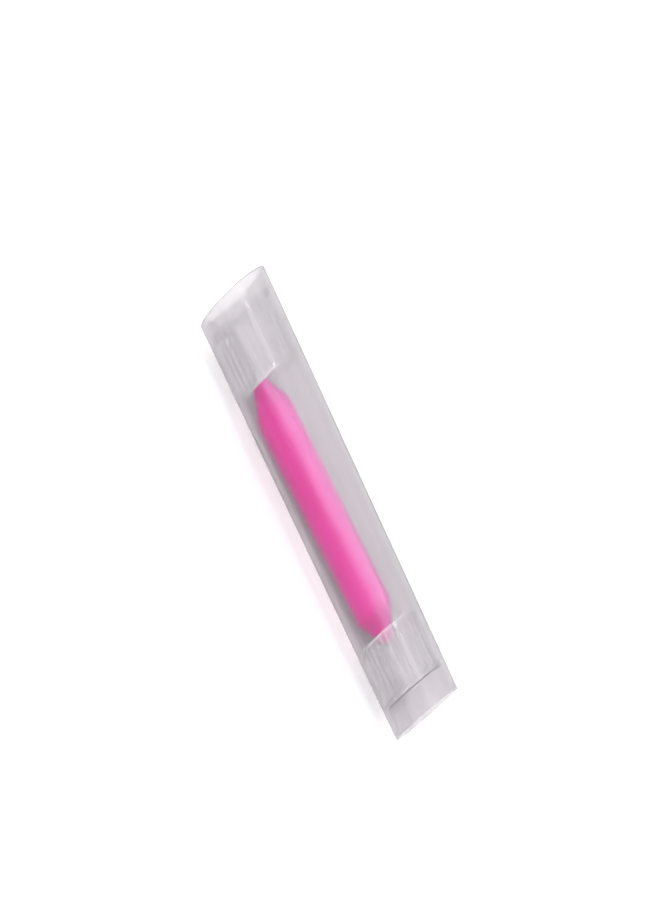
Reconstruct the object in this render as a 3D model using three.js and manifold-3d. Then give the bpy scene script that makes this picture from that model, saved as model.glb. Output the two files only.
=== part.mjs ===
// A short paper blending stump with a blunt cone at each end, stored in a
// frosted plastic tube that is closed by two ribbed push-in plugs.
//
// Units are millimetres. +X runs along the tube, from plug A to plug B, and
// +Z is up. The tube lies on its side. The origin is under its middle, on the
// surface it lies on.

import * as THREE from 'three';
import { mergeVertices } from 'three/addons/utils/BufferGeometryUtils.js';
import Module from 'manifold-3d';

// ---------------------------------------------------------------- dimensions
const TUBE_OD = 20.0;        // outside diameter of the tube
const TUBE_WALL = 1.0;       // wall of the tube
const TUBE_LENGTH = 97.3;
const TUBE_EDGE = 0.15;      // broken edge on the tube's cut ends
const TUBE_SIDES = 48;       // flats around the tube

const PLUG_LENGTH = 14.4;    // outer face to mouth
const PLUG_A_OUTER = -44.8;  // X of plug A's outer face
const PLUG_B_OUTER = 42.3;   // X of plug B's outer face
const PLUG_CLEARANCE = 0.3;  // running gap between plug and bore
const PLUG_FLOOR = 1.4;      // closed end
const FLANGE_THICK = 1.4;    // full-bore disc at the closed end
const CUP_BORE_R = 7.2;      // inside of the cup at its mouth
const CUP_DRAFT = 0.25;      // the cup's bore is this much narrower at its floor
const CUP_VALLEY_R = 8.1;    // cup wall between the ribs
const RIB_COUNT = 30;
const RIB_TOP = 0.5;         // width of a rib at its crest
const RIB_ROOT = 0.85;       // width of a rib at its root
const RIM_LENGTH = 1.1;      // plain ring at the mouth
const RIM_R = 8.5;

const STUMP_R = 5.2;
const STUMP_A = -31.75;      // X of the tip in plug A
const STUMP_B = 29.9;        // X of the tip in plug B
// Cones, as pairs of distance from the tip and radius. The first is the flat at the tip.
const CONE_A = [[0, 1.95], [1.2, 2.6], [3.3, 3.5], [5.0, 4.35], [6.1, 4.82], [7.2, 5.08], [9.0, STUMP_R]];
const CONE_B = [[0, 1.75], [2.4, 2.85], [4.7, 3.82], [6.4, 4.8], [7.4, STUMP_R]];
const STUMP_DROP = 3.38;     // the stump lies this far under the tube's axis
const STUMP_YAW = 2.3;       // degrees that it lies askew in the bore
const STUMP_SIDES = 40;

const BORE_R = TUBE_OD / 2 - TUBE_WALL;
const AXIS_Z = TUBE_OD / 2;
const PLUG_R = BORE_R - PLUG_CLEARANCE;

// ------------------------------------------------------------------- helpers
const wasm = await Module();
wasm.setup();

// A closed three.js geometry as a manifold solid.
function solid(geometry) {
  const g = geometry.clone();
  g.deleteAttribute('normal');
  g.deleteAttribute('uv');
  const m = mergeVertices(g, 1e-4);
  return new wasm.Manifold(new wasm.Mesh({
    numProp: 3,
    vertProperties: new Float32Array(m.attributes.position.array),
    triVerts: new Uint32Array(m.index.array),
  }));
}

// A manifold solid as a three.js geometry.
function geometryOf(manifold) {
  const mesh = manifold.getMesh();
  const g = new THREE.BufferGeometry();
  g.setAttribute('position', new THREE.BufferAttribute(new Float32Array(mesh.vertProperties), 3));
  g.setIndex(new THREE.BufferAttribute(new Uint32Array(mesh.triVerts), 1));
  g.computeVertexNormals();
  return g;
}

// A profile of [x, radius] pairs turned about the X axis. The flats touch the
// stated radius from outside, so that a round of that radius just fits inside.
function turned(profile, sides, closed) {
  const k = 1 / Math.cos(Math.PI / sides);
  const points = profile.map(([x, r]) => new THREE.Vector2(r * k, x));
  if (closed) points.push(points[0].clone());
  const g = new THREE.LatheGeometry(points, sides, Math.PI / sides, Math.PI * 2);
  g.rotateZ(-Math.PI / 2);
  return g;
}

function material(color, roughness, opacity) {
  return new THREE.MeshStandardMaterial({
    color, roughness, metalness: 0, opacity, transparent: opacity < 1,
  });
}

function named(name, geometry, mat) {
  const mesh = new THREE.Mesh(geometry, mat);
  mesh.name = name;
  return mesh;
}

// ---------------------------------------------------------------------- tube
function tubeGeometry() {
  const h = TUBE_LENGTH / 2;
  const R = TUBE_OD / 2;
  const e = TUBE_EDGE;
  return turned([
    [-h, R - e], [-h + e, R], [h - e, R], [h, R - e],
    [h, BORE_R + e], [h - e, BORE_R], [-h + e, BORE_R], [-h, BORE_R + e],
  ], TUBE_SIDES, true);
}

// --------------------------------------------------------------------- plugs
// One plug, its closed face at x = 0 and its mouth at x = PLUG_LENGTH.
function plugGeometry() {
  const sides = RIB_COUNT * 2;
  const pitch = (Math.PI * 2) / RIB_COUNT;
  const top = RIB_TOP / 2 / PLUG_R;
  const root = RIB_ROOT / 2 / CUP_VALLEY_R;
  const ribbed = new THREE.Shape();
  for (let i = 0; i < RIB_COUNT; i += 1) {
    const a = i * pitch;
    const corners = [[a - root, CUP_VALLEY_R], [a - top, PLUG_R], [a + top, PLUG_R], [a + root, CUP_VALLEY_R]];
    corners.forEach(([t, r], j) => {
      const x = Math.cos(t) * r;
      const y = Math.sin(t) * r;
      if (i === 0 && j === 0) ribbed.moveTo(x, y);
      else ribbed.lineTo(x, y);
    });
  }
  ribbed.closePath();
  const ribs = new THREE.ExtrudeGeometry(ribbed, {
    depth: PLUG_LENGTH - RIM_LENGTH - 0.4, bevelEnabled: false, steps: 1,
  });
  ribs.translate(0, 0, 0.4);
  ribs.rotateY(Math.PI / 2);

  const flange = turned([
    [0, 0], [0, PLUG_R - 0.35], [0.35, PLUG_R], [FLANGE_THICK, PLUG_R], [FLANGE_THICK, 0],
  ], sides);
  const rim = turned([
    [PLUG_LENGTH - RIM_LENGTH - 0.6, 0], [PLUG_LENGTH - RIM_LENGTH - 0.6, RIM_R],
    [PLUG_LENGTH - 0.35, RIM_R], [PLUG_LENGTH, RIM_R - 0.35], [PLUG_LENGTH, 0],
  ], sides);
  const hollow = turned([
    [PLUG_FLOOR, 0], [PLUG_FLOOR, CUP_BORE_R - CUP_DRAFT - 0.6], [PLUG_FLOOR + 0.6, CUP_BORE_R - CUP_DRAFT],
    [PLUG_LENGTH - 0.25, CUP_BORE_R], [PLUG_LENGTH + 1, CUP_BORE_R + 1.25], [PLUG_LENGTH + 1, 0],
  ], sides);
  return geometryOf(solid(ribs).add(solid(flange)).add(solid(rim)).subtract(solid(hollow)));
}

// --------------------------------------------------------------------- stump
// The roll of paper, its middle at the origin, lying along X.
function stumpGeometry() {
  const length = STUMP_B - STUMP_A;
  const a = -length / 2;
  const b = length / 2;
  const profile = [[a, 0]];
  CONE_A.forEach(([d, r]) => profile.push([a + d, r]));
  [...CONE_B].reverse().forEach(([d, r]) => profile.push([b - d, r]));
  profile.push([b, 0]);
  // The corners of the stump lie on its true radius.
  const k = Math.cos(Math.PI / STUMP_SIDES);
  return turned(profile.map(([x, r]) => [x, r * k]), STUMP_SIDES);
}

// ------------------------------------------------------------------ assembly
const part = new THREE.Group();
part.name = 'blending_stump_in_tube';

const axis = new THREE.Group();
axis.position.set(0, 0, AXIS_Z);
part.add(axis);

axis.add(named('tube', tubeGeometry(), material(0xd8d3d8, 0.45, 0.45)));

const plug = plugGeometry();
const plugA = named('plug_a', plug, material(0xdcd8dd, 0.4, 0.6));
plugA.position.x = PLUG_A_OUTER;
axis.add(plugA);

const plugB = named('plug_b', plug.clone(), material(0xdcd8dd, 0.4, 0.6));
plugB.position.x = PLUG_B_OUTER;
plugB.rotation.z = Math.PI;
axis.add(plugB);

const stump = named('stump', stumpGeometry(), material(0xe0559f, 0.9, 1));
stump.position.set((STUMP_A + STUMP_B) / 2, 0, -STUMP_DROP);
stump.rotation.z = THREE.MathUtils.degToRad(STUMP_YAW);
axis.add(stump);

export default part;
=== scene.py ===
"""A paper blending stump in a frosted tube with two ribbed plugs.

The CAD model is the frame. Every shown piece is made here at the CAD's size, in metres.
"""
import math

import bpy
from mathutils import Matrix, Vector


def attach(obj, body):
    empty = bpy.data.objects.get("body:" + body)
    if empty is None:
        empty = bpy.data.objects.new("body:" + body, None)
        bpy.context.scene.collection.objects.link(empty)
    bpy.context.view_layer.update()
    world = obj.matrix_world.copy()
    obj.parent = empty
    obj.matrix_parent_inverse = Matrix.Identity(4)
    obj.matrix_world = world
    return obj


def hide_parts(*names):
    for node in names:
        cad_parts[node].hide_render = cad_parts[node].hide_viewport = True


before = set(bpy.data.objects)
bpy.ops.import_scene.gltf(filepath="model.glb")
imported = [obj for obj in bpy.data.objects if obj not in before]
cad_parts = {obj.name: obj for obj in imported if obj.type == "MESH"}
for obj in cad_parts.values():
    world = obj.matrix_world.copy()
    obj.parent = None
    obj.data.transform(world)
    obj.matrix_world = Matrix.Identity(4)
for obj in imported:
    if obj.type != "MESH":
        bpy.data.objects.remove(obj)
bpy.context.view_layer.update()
MM = 0.001

# ------------------------------------------------------------------ sizes, mm
AXIS_Z = 10.0
TUBE_R, BORE_R, TUBE_HALF, LIP = 10.0, 9.0, 48.65, 0.14
PLUG_LENGTH = 14.4
PLUG_A_OUTER, PLUG_B_OUTER = -44.8, 42.3
RIBS = 30
STUMP_A, STUMP_B = -31.75, 29.9
STUMP_R = 5.2
STUMP_DROP, STUMP_YAW = 3.38, 2.3

# ------------------------------------------------------------------- meshes


def mesh_piece(name, verts, faces, smooth_angle=40.0):
    """An object from vertices in metres. Edges sharper than the angle stay sharp."""
    me = bpy.data.meshes.new(name)
    me.from_pydata(verts, [], faces)
    me.validate()
    me.update()
    for p in me.polygons:
        p.use_smooth = True
    me.set_sharp_from_angle(angle=math.radians(smooth_angle))
    ob = bpy.data.objects.new(name, me)
    bpy.context.scene.collection.objects.link(ob)
    return ob


def revolve(stations, columns, closed):
    """Verts and faces of a grid turned about X. stations is a list of functions phi -> (x, r), or None for
    a single point on the axis given as ("axis", x). closed joins the last station to the first."""
    verts, rows = [], []
    for s in stations:
        if isinstance(s, tuple):
            verts.append((s[1] * MM, 0.0, 0.0))
            rows.append([len(verts) - 1])
            continue
        row = []
        for i in range(columns):
            a = 2 * math.pi * i / columns
            x, r = s(a)
            verts.append((x * MM, -math.sin(a) * r * MM, math.cos(a) * r * MM))
            row.append(len(verts) - 1)
        rows.append(row)
    faces = []
    pairs = list(zip(rows, rows[1:]))
    if closed:
        pairs.append((rows[-1], rows[0]))
    for low, high in pairs:
        for i in range(columns):
            j = (i + 1) % columns
            if len(low) == 1:
                faces.append((low[0], high[j], high[i]))
            elif len(high) == 1:
                faces.append((low[i], low[j], high[0]))
            else:
                faces.append((low[i], low[j], high[j], high[i]))
    return verts, faces


def outward(ob):
    """Turns the faces of a closed mesh outwards."""
    import bmesh

    bm = bmesh.new()
    bm.from_mesh(ob.data)
    bmesh.ops.recalc_face_normals(bm, faces=bm.faces)
    if bm.calc_volume(signed=True) < 0:
        bmesh.ops.reverse_faces(bm, faces=bm.faces)
    bm.to_mesh(ob.data)
    bm.free()
    ob.data.update()


def placed(ob, x, y, z, turn=0.0):
    """Moves a piece's mesh into place, in mm, after a turn about Z in degrees."""
    ob.data.transform(
        Matrix.Translation((x * MM, y * MM, z * MM))
        @ Matrix.Rotation(math.radians(turn), 4, "Z")
    )
    ob.data.update()


def ring(x, r):
    return lambda a: (x, r)


def arc(cx, cr, radius, start, end, steps):
    """Points of a rounded corner in the (x, r) plane, angles in degrees from +x towards +r."""
    out = []
    for i in range(steps + 1):
        t = math.radians(start + (end - start) * i / steps)
        out.append((cx + radius * math.cos(t), cr + radius * math.sin(t)))
    return out


# The tube: a drawn tube with its cut ends slightly broken.
profile = []
h = TUBE_HALF
profile += arc(h - LIP, TUBE_R - LIP, LIP, 90, 0, 4)
profile += arc(h - LIP, BORE_R + LIP, LIP, 0, -90, 4)
inner_x = [h - LIP - (2 * (h - LIP)) * i / 24 for i in range(1, 24)]
profile += [(x, BORE_R) for x in inner_x]
profile += arc(-h + LIP, BORE_R + LIP, LIP, -90, -180, 4)
profile += arc(-h + LIP, TUBE_R - LIP, LIP, 180, 90, 4)
profile += [(-x, TUBE_R) for x in inner_x]
verts, faces = revolve([ring(x, r) for x, r in profile], 192, True)
tube = mesh_piece("tube_shell", verts, faces)
outward(tube)
placed(tube, 0, 0, AXIS_Z)


# The plugs: a cup with a closed, full-bore face, moulded ribs and a plain rim.
def smooth(t):
    t = min(max(t, 0.0), 1.0)
    return t * t * (3 - 2 * t)


def rib_at(a):
    """From 0 in a valley to 1 on a crest."""
    t = (a / (2 * math.pi) * RIBS) % 1.0
    d = abs(t - 0.5)  # the crest is at t = 0.5
    return smooth((0.21 - d) / 0.12)


def outside(x, valley, crest):
    return lambda a: (x, valley + (crest - valley) * rib_at(a))


def plug_piece(name):
    n = PLUG_LENGTH
    st = [("axis", 0.0), ring(0.0, 0.45), ring(-0.0, 1.0), ring(0.0, 4.0), ring(0.0, 7.6)]
    st += [ring(x, r) for x, r in arc(0.4, 8.5, 0.4, 180, 90, 5)]
    st += [ring(1.1, 8.9)]
    st += [ring(x, r) for x, r in arc(1.15, 8.65, 0.25, 90, 0, 4)]
    st += [outside(1.42, 8.25, 8.86), outside(1.55, 8.12, 8.86)]
    for i in range(1, 20):
        x = 1.55 + (n - 2.1 - 1.55) * i / 20
        # a little draft, so that the ribs ease towards the mouth
        st.append(outside(x, 8.12 - 0.06 * i / 20, 8.86 - 0.14 * i / 20))
    st += [outside(n - 2.1, 8.06, 8.72), outside(n - 1.7, 8.10, 8.55), outside(n - 1.45, 8.3, 8.45)]
    st += [ring(n - 1.3, 8.46), ring(n - 1.1, 8.5)]
    st += [ring(x, r) for x, r in arc(n - 0.3, 8.2, 0.3, 90, 0, 5)]
    st += [ring(x, r) for x, r in arc(n - 0.3, 7.5, 0.3, 0, -75, 5)]
    for i in range(0, 9):
        x = n - 0.7 - (n - 0.7 - 2.2) * i / 8
        st.append(ring(x, 7.2 - 0.25 * i / 8))
    st += [ring(x, r) for x, r in arc(2.0, 6.35, 0.6, 90, 180, 6)]
    st += [ring(1.4, 4.0), ring(1.4, 1.0), ("axis", 1.4)]
    verts, faces = revolve(st, RIBS * 16, False)
    ob = mesh_piece(name, verts, faces)
    outward(ob)
    return ob


plug_a = plug_piece("plug_a_cup")
placed(plug_a, PLUG_A_OUTER, 0, AXIS_Z)
plug_b = plug_piece("plug_b_cup")
placed(plug_b, PLUG_B_OUTER, 0, AXIS_Z, 180)

# The stump: a tight roll of paper with a cone turned on each end.
CONE_A = [(0, 1.95), (1.2, 2.6), (3.3, 3.5), (5.0, 4.35), (6.1, 4.82), (7.2, 5.08), (9.0, 5.2)]
CONE_B = [(0, 1.75), (2.4, 2.85), (4.7, 3.82), (6.4, 4.8), (7.4, 5.2)]
PAPER = 0.16  # one turn of the roll


def cone_radius(table, d):
    """Radius at a distance from the tip, smooth between the table's points (Catmull-Rom)."""
    if d >= table[-1][0]:
        return table[-1][1]
    for i in range(len(table) - 1):
        (x0, y0), (x1, y1) = table[i], table[i + 1]
        if d <= x1:
            t = (d - x0) / (x1 - x0)
            m0 = (y1 - (table[i - 1][1] if i else y0 - (y1 - y0))) / (
                x1 - (table[i - 1][0] if i else x0 - (x1 - x0))
            )
            after = table[i + 2] if i + 2 < len(table) else (x1 + 3.0, y1 + (0.0 if table is CONE_A else 0.9))
            m1 = (after[1] - y0) / (after[0] - x0)
            w = x1 - x0
            return (
                (2 * t**3 - 3 * t**2 + 1) * y0
                + (t**3 - 2 * t**2 + t) * m0 * w
                + (-2 * t**3 + 3 * t**2) * y1
                + (t**3 - t**2) * m1 * w
            )
    return table[-1][1]


def stump_piece():
    length = STUMP_B - STUMP_A
    half = length / 2

    def at(d_a):
        """A station at a distance from tip A."""
        d_b = length - d_a
        base = min(cone_radius(CONE_A, d_a), cone_radius(CONE_B, d_b))
        x = d_a - half

        def f(a):
            r = base
            turn = a / (2 * math.pi)
            if r < STUMP_R - 0.02:
                # the cut edges of the turns show as one fine spiral step
                phase = (r / PAPER + turn) % 1.0
                r += 0.016 * (phase - 0.5)
            else:
                # the sheet's last edge lies on the turn below it
                r -= 0.075 * smooth((turn - 0.02) / 0.5) * 0.5
                r -= 0.06 * (1 - smooth(turn / 0.004)) if turn < 0.004 else 0.0
            # soft unevenness left by rolling
            r += 0.012 * math.sin(3 * a + 0.13 * x) + 0.01 * math.sin(2 * a - 0.21 * x + 1.3)
            return (x, min(r, STUMP_R))

        return f

    # The tip faces are very slightly hollow, with a pinhole left by the rolling needle.
    st = [("axis", -half + 0.5)]
    for r, dx in ((0.18, 0.5), (0.24, 0.12), (0.34, 0.05), (0.6, 0.045), (1.0, 0.03), (1.6, 0.01)):
        st.append(ring(-half + dx, r))
    st.append(ring(-half, 1.82))
    st += [at(0.06)]
    d = 0.14
    while d < CONE_A[-1][0] + 0.3:
        st.append(at(d))
        d += 0.075
    body = []
    while d < length - CONE_B[-1][0] - 0.3:
        body.append(at(d))
        d += 0.6
    st += body
    d = length - CONE_B[-1][0] - 0.3
    while d < length - 0.14:
        st.append(at(d))
        d += 0.075
    st += [at(length - 0.06)]
    st.append(ring(half, 1.58))
    for r, dx in ((1.4, 0.01), (1.0, 0.03), (0.6, 0.045), (0.34, 0.05), (0.24, 0.12), (0.18, 0.5)):
        st.append(ring(half - dx, r))
    st.append(("axis", half - 0.5))
    verts, faces = revolve(st, 200, False)
    ob = mesh_piece("stump_roll", verts, faces, 50)
    outward(ob)
    return ob


stump = stump_piece()
placed(stump, (STUMP_A + STUMP_B) / 2, 0, AXIS_Z - STUMP_DROP, STUMP_YAW)

# ---------------------------------------------------------------- materials


class Nodes:
    """A short way to write a node tree."""

    def __init__(self, name):
        self.mat = bpy.data.materials.new(name)
        self.mat.use_nodes = True
        self.tree = self.mat.node_tree
        self.tree.nodes.clear()
        self.out = self.add("ShaderNodeOutputMaterial")

    def add(self, kind, **values):
        n = self.tree.nodes.new(kind)
        for key, value in values.items():
            setattr(n, key, value)
        return n

    def link(self, a, b):
        self.tree.links.new(a, b)

    def math(self, op, a, b=None, clamp=False):
        n = self.add("ShaderNodeMath", operation=op, use_clamp=clamp)
        for i, v in enumerate((a, b)):
            if v is None:
                continue
            if isinstance(v, (int, float)):
                n.inputs[i].default_value = v
            else:
                self.link(v, n.inputs[i])
        return n.outputs[0]

    def noise(self, vector, scale, detail=3.0, rough=0.5, distort=0.0):
        n = self.add("ShaderNodeTexNoise")
        n.inputs["Scale"].default_value = scale
        n.inputs["Detail"].default_value = detail
        n.inputs["Roughness"].default_value = rough
        n.inputs["Distortion"].default_value = distort
        self.link(vector, n.inputs["Vector"])
        return n.outputs["Fac"]

    def object_coords(self, scale=(1, 1, 1), location=(0, 0, 0), turn=(0, 0, 0)):
        c = self.add("ShaderNodeTexCoord")
        m = self.add("ShaderNodeMapping")
        m.inputs["Scale"].default_value = scale
        m.inputs["Location"].default_value = location
        m.inputs["Rotation"].default_value = turn
        self.link(c.outputs["Object"], m.inputs["Vector"])
        return m.outputs[0]

    def ramp(self, fac, stops):
        n = self.add("ShaderNodeValToRGB")
        el = n.color_ramp.elements
        while len(el) < len(stops):
            el.new(0.5)
        for e, (p, c) in zip(el, stops):
            e.position = p
            e.color = c if len(c) == 4 else (*c, 1)
        self.link(fac, n.inputs[0])
        return n.outputs[0]

    def span(self, fac, low, high, a=0.0, b=1.0):
        n = self.add("ShaderNodeMapRange")
        n.inputs["From Min"].default_value = a
        n.inputs["From Max"].default_value = b
        n.inputs["To Min"].default_value = low
        n.inputs["To Max"].default_value = high
        self.link(fac, n.inputs["Value"])
        return n.outputs["Result"]

    def bump(self, height, strength, distance, normal=None):
        n = self.add("ShaderNodeBump")
        n.inputs["Strength"].default_value = strength
        n.inputs["Distance"].default_value = distance
        self.link(height, n.inputs["Height"])
        if normal is not None:
            self.link(normal, n.inputs["Normal"])
        return n.outputs[0]


def frosted(name, colour_stops, transmission, rough, ior, coat, coat_rough, shade, streak, seed, thick=None, dim=0.0):
    """Frosted translucent plastic: a thin wall that tints and softens what is behind it and bends it little, a
    little milk, and a satin skin. Lamps reach what is inside."""
    m = Nodes(name)
    p = m.add("ShaderNodeBsdfPrincipled")
    along = m.object_coords((40, 900, 900), (seed, seed, seed))
    streaks = m.noise(along, 1.0, 2.0, 0.5)
    cloud = m.noise(m.object_coords((1, 1, 1), (seed, 0, seed)), 90.0, 4.0, 0.55)
    grain = m.noise(m.object_coords((1, 1, 1)), 5200.0, 2.0, 0.6)
    tone = m.math("ADD", m.math("MULTIPLY", streaks, 0.5), m.math("MULTIPLY", cloud, 0.5))
    colour = m.ramp(tone, colour_stops)
    if thick:
        # thicker plastic is milkier: the ribs, the rim and the closed face. The line is the face's edge.
        milk, line = thick(m)
        p_mix = m.add("ShaderNodeMix", data_type="RGBA", blend_type="MIX")
        m.link(line, p_mix.inputs["Factor"])
        m.link(colour, p_mix.inputs["A"])
        p_mix.inputs["B"].default_value = (0.20, 0.18, 0.20, 1)
        colour = p_mix.outputs["Result"]
        m.link(m.span(milk, transmission, 0.35), p.inputs["Transmission Weight"])
    m.link(colour, p.inputs["Base Color"])
    mix = m.math("ADD", m.math("MULTIPLY", cloud, 0.6), m.math("MULTIPLY", grain, 0.4))
    m.link(m.span(mix, rough - 0.05, rough + 0.05, 0.3, 0.7), p.inputs["Roughness"])
    p.inputs["IOR"].default_value = ior
    if not thick:
        p.inputs["Transmission Weight"].default_value = transmission
    p.inputs["Coat Weight"].default_value = coat
    p.inputs["Coat Roughness"].default_value = coat_rough
    p.inputs["Coat IOR"].default_value = 1.5
    n1 = m.bump(streaks, streak, 0.00006)
    n2 = m.bump(grain, 0.04, 0.00002, n1)
    m.link(n2, p.inputs["Normal"])
    m.link(n2, p.inputs["Coat Normal"])
    t = m.add("ShaderNodeBsdfTransparent")
    t.inputs["Color"].default_value = (*shade, 1)
    lp = m.add("ShaderNodeLightPath")
    ms = m.add("ShaderNodeMixShader")
    m.link(lp.outputs["Is Shadow Ray"], ms.inputs[0])
    m.link(p.outputs[0], ms.inputs[1])
    m.link(t.outputs[0], ms.inputs[2])
    m.link(ms.outputs[0], m.out.inputs["Surface"])
    if dim:
        # light is lost along its way through the wall, so the wall is as dark where it is seen edge on
        v = m.add("ShaderNodeVolumeAbsorption")
        v.inputs["Color"].default_value = (0.30, 0.27, 0.30, 1)
        v.inputs["Density"].default_value = dim
        m.link(v.outputs[0], m.out.inputs["Volume"])
    return m.mat


tube_mat = frosted(
    "frosted_tube",
    [(0.3, (0.762, 0.746, 0.760)), (0.7, (0.808, 0.791, 0.806))],
    0.982, 0.34, 1.10, 0.30, 0.28, (0.91, 0.90, 0.91), 0.0, 0.0, None, 50.0,
)


def plug_walls(face, mouth, edge, rim_milk):
    """How thick the plug's plastic is, 0 to 1, and how much of its face's dark edge line is at each point."""

    def build(m):
        c = m.add("ShaderNodeTexCoord")
        sep = m.add("ShaderNodeSeparateXYZ")
        m.link(c.outputs["Object"], sep.inputs[0])
        x, y, z = sep.outputs
        a = m.math("ARCTAN2", y, m.math("SUBTRACT", z, AXIS_Z * MM))
        phase = m.math("FRACT", m.math("MULTIPLY", a, RIBS / (2 * math.pi)))
        crest = m.span(m.math("ABSOLUTE", m.math("SUBTRACT", phase, 0.5)), 1.0, 0.0, 0.08, 0.22)
        from_face = m.math("ABSOLUTE", m.math("SUBTRACT", x, face * MM))
        from_mouth = m.math("ABSOLUTE", m.math("SUBTRACT", x, mouth * MM))
        rim = m.span(from_mouth, 1.0, 0.0, 0.00045, 0.00060)
        flange = m.span(from_face, 1.0, 0.0, 0.00135, 0.00150)
        milk = m.math("MAXIMUM", m.math("MULTIPLY", crest, 0.22), m.math("MULTIPLY", rim, rim_milk))
        milk = m.math("MAXIMUM", milk, m.math("MULTIPLY", flange, 0.12))
        # the line is on the face's round edge only, not across the face
        up = m.math("SUBTRACT", z, AXIS_Z * MM)
        radius = m.math("SQRT", m.math("ADD", m.math("MULTIPLY", y, y), m.math("MULTIPLY", up, up)))
        at_edge = m.span(radius, 0.0, 1.0, 0.00845, 0.00860)
        line = m.math("MULTIPLY", m.span(from_face, 1.0, 0.0, 0.00028, 0.00036), m.math("MULTIPLY", at_edge, edge))
        return milk, line

    return build


def plug_material(name, face, mouth, edge, rim_milk, seed):
    return frosted(
        name,
        [(0.3, (0.765, 0.765, 0.768)), (0.7, (0.815, 0.815, 0.818))],
        0.90, 0.20, 1.12, 1.0, 0.10, (0.94, 0.93, 0.94), 0.05, seed, plug_walls(face, mouth, edge, rim_milk),
    )


plug_a_mat = plug_material("milky_plug_a", PLUG_A_OUTER, PLUG_A_OUTER + PLUG_LENGTH, 0.05, 0.2, 3.1)
plug_b_mat = plug_material("milky_plug_b", PLUG_B_OUTER, PLUG_B_OUTER - PLUG_LENGTH, 0.95, 0.4, 5.7)


def pink_paper():
    m = Nodes("pink_rolled_paper")
    p = m.add("ShaderNodeBsdfPrincipled")
    c = m.add("ShaderNodeTexCoord")
    turned = m.add("ShaderNodeMapping", vector_type="TEXTURE")
    turned.inputs["Location"].default_value = (
        (STUMP_A + STUMP_B) / 2 * MM, 0, (AXIS_Z - STUMP_DROP) * MM)
    turned.inputs["Rotation"].default_value = (0, 0, math.radians(STUMP_YAW))
    m.link(c.outputs["Object"], turned.inputs["Vector"])
    own = turned.outputs[0]  # the roll's own axes, X along it
    sep = m.add("ShaderNodeSeparateXYZ")
    m.link(own, sep.inputs[0])
    x, y, z = sep.outputs
    radius = m.math("SQRT", m.math("ADD", m.math("MULTIPLY", y, y), m.math("MULTIPLY", z, z)))
    angle = m.math("ARCTAN2", y, z)
    # one dark line for each turn of the roll, where the cut shows its edges
    turn = m.math("ADD", m.math("MULTIPLY", radius, 1 / (PAPER * MM)), m.math("MULTIPLY", angle, -1 / (2 * math.pi)))
    wobble = m.noise(own, 900.0, 2.0)
    turn = m.math("ADD", turn, m.math("MULTIPLY", wobble, 0.35))
    saw = m.math("FRACT", turn)
    line = m.math("SUBTRACT", 1.0, m.math("MULTIPLY", m.math("ABSOLUTE", m.math("SUBTRACT", saw, 0.5)), 2.0))
    edge = m.math("POWER", m.math("SUBTRACT", 1.0, line), 5.0)
    on_cut = m.span(radius, 1.0, 0.0, 0.00508, 0.00514)
    edge = m.math("MULTIPLY", edge, on_cut)
    # long paper fibres
    f = m.add("ShaderNodeMapping")
    f.inputs["Scale"].default_value = (420, 2400, 2400)
    m.link(own, f.inputs["Vector"])
    fibre = m.noise(f.outputs[0], 1.0, 5.0, 0.65, 0.6)
    fine = m.noise(own, 4200.0, 3.0, 0.7)
    blotch = m.noise(own, 160.0, 3.0, 0.5)
    tone = m.math("ADD", m.math("MULTIPLY", fibre, 0.5), m.math("MULTIPLY", blotch, 0.5))
    base = m.ramp(tone, [(0.3, PINK[0]), (0.5, PINK[1]), (0.72, PINK[2])])
    mix = m.add("ShaderNodeMix", data_type="RGBA", blend_type="MULTIPLY")
    m.link(m.math("MULTIPLY", edge, 0.45), mix.inputs["Factor"])
    # painted highlight: the pink is painted paler along the roll's lit side (about 60 degrees round from the top,
    # towards the window), standing in for the light falling there
    from_painted_light = m.math("ABSOLUTE", m.math("SUBTRACT", angle, math.radians(60)))
    from_painted_light = m.math("ADD", from_painted_light, m.math("MULTIPLY", m.math("SUBTRACT", blotch, 0.5), 0.35))
    painted_light_mask = m.add("ShaderNodeMapRange", interpolation_type="SMOOTHSTEP")
    for key, value in (("From Min", 1.05), ("From Max", 1.82), ("To Min", 1.0), ("To Max", 0.0)):
        painted_light_mask.inputs[key].default_value = value
    m.link(from_painted_light, painted_light_mask.inputs["Value"])
    painted_light_mix = m.add("ShaderNodeMix", data_type="RGBA", blend_type="MIX")
    m.link(painted_light_mask.outputs["Result"], painted_light_mix.inputs["Factor"])
    m.link(base, painted_light_mix.inputs["A"])
    painted_light_mix.inputs["B"].default_value = (*PAINTED_LIGHT_PINK, 1)
    base = painted_light_mix.outputs["Result"]
    m.link(base, mix.inputs["A"])
    mix.inputs["B"].default_value = (0.72, 0.42, 0.6, 1)
    m.link(mix.outputs["Result"], p.inputs["Base Color"])
    m.link(m.span(fine, 0.76, 0.92), p.inputs["Roughness"])
    p.inputs["Sheen Weight"].default_value = 0.32
    p.inputs["Sheen Roughness"].default_value = 0.5
    p.inputs["Sheen Tint"].default_value = (0.80, 0.66, 1.0, 1)
    p.inputs["Specular IOR Level"].default_value = 0.15
    n = m.bump(edge, 0.6, -0.00004)
    n = m.bump(fibre, 0.35, 0.00003, n)
    n = m.bump(fine, 0.3, 0.000015, n)
    m.link(n, p.inputs["Normal"])
    m.link(p.outputs[0], m.out.inputs["Surface"])
    return m.mat


PINK = [(0.545, 0.002, 0.19), (0.585, 0.003, 0.235), (0.615, 0.007, 0.28)]
# the paler pink painted on the roll's lit side: a painted highlight, not a real dye
PAINTED_LIGHT_PINK = (0.72, 0.17, 0.45)
paper_mat = pink_paper()

tube.data.materials.append(tube_mat)
plug_a.data.materials.append(plug_a_mat)
plug_b.data.materials.append(plug_b_mat)
stump.data.materials.append(paper_mat)

for piece, node, body in (
    (tube, "tube", "case"),
    (plug_a, "plug_a", "plug_a"),
    (plug_b, "plug_b", "plug_b"),
    (stump, "stump", "stump"),
):
    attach(piece, body)
    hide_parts(node)

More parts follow.
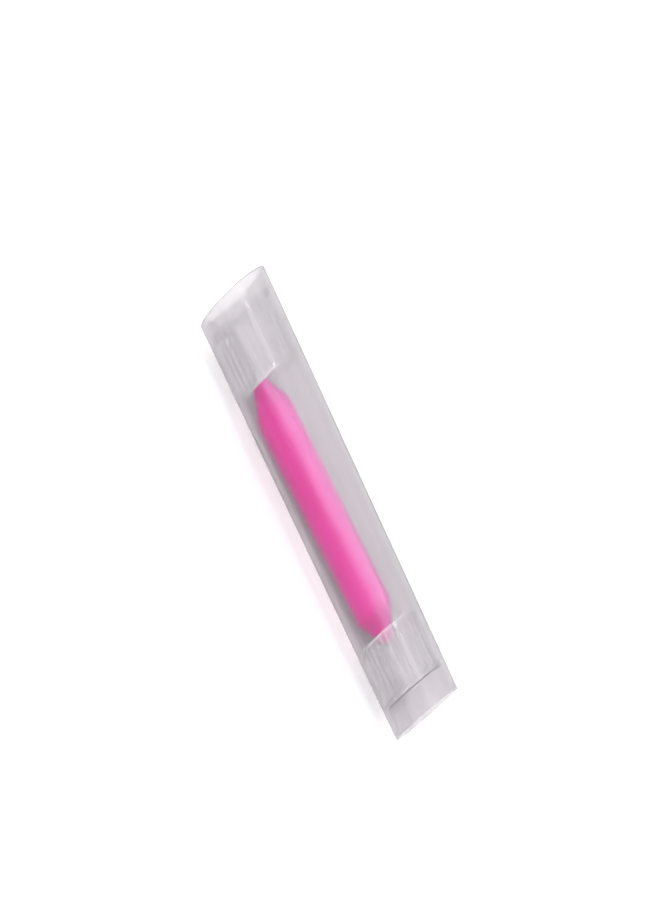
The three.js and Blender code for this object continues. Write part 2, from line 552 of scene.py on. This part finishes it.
# -------------------------------------------------------------- floor, light
floor = mesh_piece("floor", [(-8, -8, 0), (8, -8, 0), (8, 8, 0), (-8, 8, 0)], [(0, 1, 2, 3)])
m = Nodes("floor_paper")
p = m.add("ShaderNodeBsdfPrincipled")
grain = m.noise(m.object_coords(), 60.0, 3.0)
m.link(m.ramp(grain, [(0.3, (0.82, 0.82, 0.82)), (0.7, (0.835, 0.835, 0.835))]), p.inputs["Base Color"])
p.inputs["Roughness"].default_value = 0.9
p.inputs["Specular IOR Level"].default_value = 0.2
m.link(p.outputs[0], m.out.inputs["Surface"])
floor.data.materials.append(m.mat)
floor.location.z = -0.00002

world = bpy.data.worlds.new("studio")
world.use_nodes = True
bg = world.node_tree.nodes["Background"]
# the walls of the room are a little darker than its ceiling
wt = world.node_tree
sky = wt.nodes.new("ShaderNodeTexCoord")
sep = wt.nodes.new("ShaderNodeSeparateXYZ")
wt.links.new(sky.outputs["Generated"], sep.inputs[0])
wall = wt.nodes.new("ShaderNodeValToRGB")
wall.color_ramp.elements[0].position = 0.0
wall.color_ramp.elements[0].color = (0.55, 0.545, 0.555, 1)
wall.color_ramp.elements[1].position = 0.75
wall.color_ramp.elements[1].color = (1.0, 0.995, 1.0, 1)
wt.links.new(sep.outputs["Z"], wall.inputs[0])
wt.links.new(wall.outputs[0], bg.inputs["Color"])
bg.inputs["Strength"].default_value = 0.95
bpy.context.scene.world = world


def area(name, where, target, size_x, size_y, power, colour=(1, 1, 1)):
    data = bpy.data.lights.new(name, "AREA")
    data.shape = "RECTANGLE"
    data.size, data.size_y = size_x, size_y
    data.energy = power
    data.color = colour
    ob = bpy.data.objects.new(name, data)
    bpy.context.scene.collection.objects.link(ob)
    ob.location = where
    ob.rotation_mode = "QUATERNION"
    ob.rotation_quaternion = (Vector(target) - Vector(where)).to_track_quat("-Z", "Y")
    ob.visible_camera = False
    return ob


MID = (0.0, 0.0, 0.010)
area("window", (0.15, 0.95, 0.75), MID, 2.0, 1.2, 1.4, (1.0, 0.985, 0.99))
area("side_strip", (0.05, 0.90, 0.79), MID, 1.4, 0.14, 1.4, (0.97, 0.97, 1.0))
area("top_strip", (0.0, -0.07, 0.80), MID, 1.0, 0.05, 2.0)
area("fill", (-0.2, -0.85, 0.60), MID, 1.6, 0.9, 8.6).visible_glossy = False

# -------------------------------------------------------------------- camera
# The picture being matched is a square one squeezed sideways to 660 x 900. Its camera sits at the tube's
# side, mostly above it. A slanted picture plane gives the same squeeze with no change to the object:
# the camera's up direction leans along its line of sight by SLANT.
DISTANCE, LENS = 1.000, 148.95
TILT = math.radians(35.5)       # from straight above, towards -Y
END_ON = math.radians(6.3)     # end B is turned a little towards the camera
ROLL = math.radians(61.344)
OFFSET = (-0.000812, 0.012055)
SLANT = -math.acos(0.7075)

cam_data = bpy.data.cameras.new("camera")
cam = bpy.data.objects.new("camera", cam_data)
bpy.context.scene.collection.objects.link(cam)
bpy.context.scene.camera = cam
cam_data.lens = LENS
cam_data.sensor_width = 36.0
cam_data.clip_start, cam_data.clip_end = 0.01, 30.0

view = Vector((math.sin(END_ON), -math.sin(TILT) * math.cos(END_ON), math.cos(TILT) * math.cos(END_ON)))
side = Vector((0, 1, 0)).cross(view).normalized()
up = view.cross(side)
cx = math.cos(ROLL) * side + math.sin(ROLL) * up
cy = -math.sin(ROLL) * side + math.cos(ROLL) * up
eye = Vector(MID) + OFFSET[0] * cx + OFFSET[1] * cy + DISTANCE * view
lean = math.cos(SLANT) * cy + math.sin(SLANT) * view
# (cx, lean, view) = turn_out * stretch * turn_in, so that a plain parent with a scale can hold it
import numpy as np

want = np.array([[cx[i], lean[i], view[i]] for i in range(3)])
left, stretch, right = np.linalg.svd(want)
if np.linalg.det(left) < 0:
    left[:, -1] *= -1
    right[-1] *= -1
holder = bpy.data.objects.new("camera_holder", None)
bpy.context.scene.collection.objects.link(holder)
holder.location = eye
holder.rotation_mode = "QUATERNION"
holder.rotation_quaternion = Matrix(left.tolist()).to_quaternion()
holder.scale = stretch.tolist()
cam.parent = holder
cam.rotation_mode = "QUATERNION"
cam.rotation_quaternion = Matrix(right.tolist()).to_quaternion()
bpy.context.view_layer.update()

# --------------------------------------------------------------------- look
scene = bpy.context.scene
scene.view_settings.view_transform = "Standard"
scene.view_settings.look = "None"
scene.view_settings.exposure = 0.0
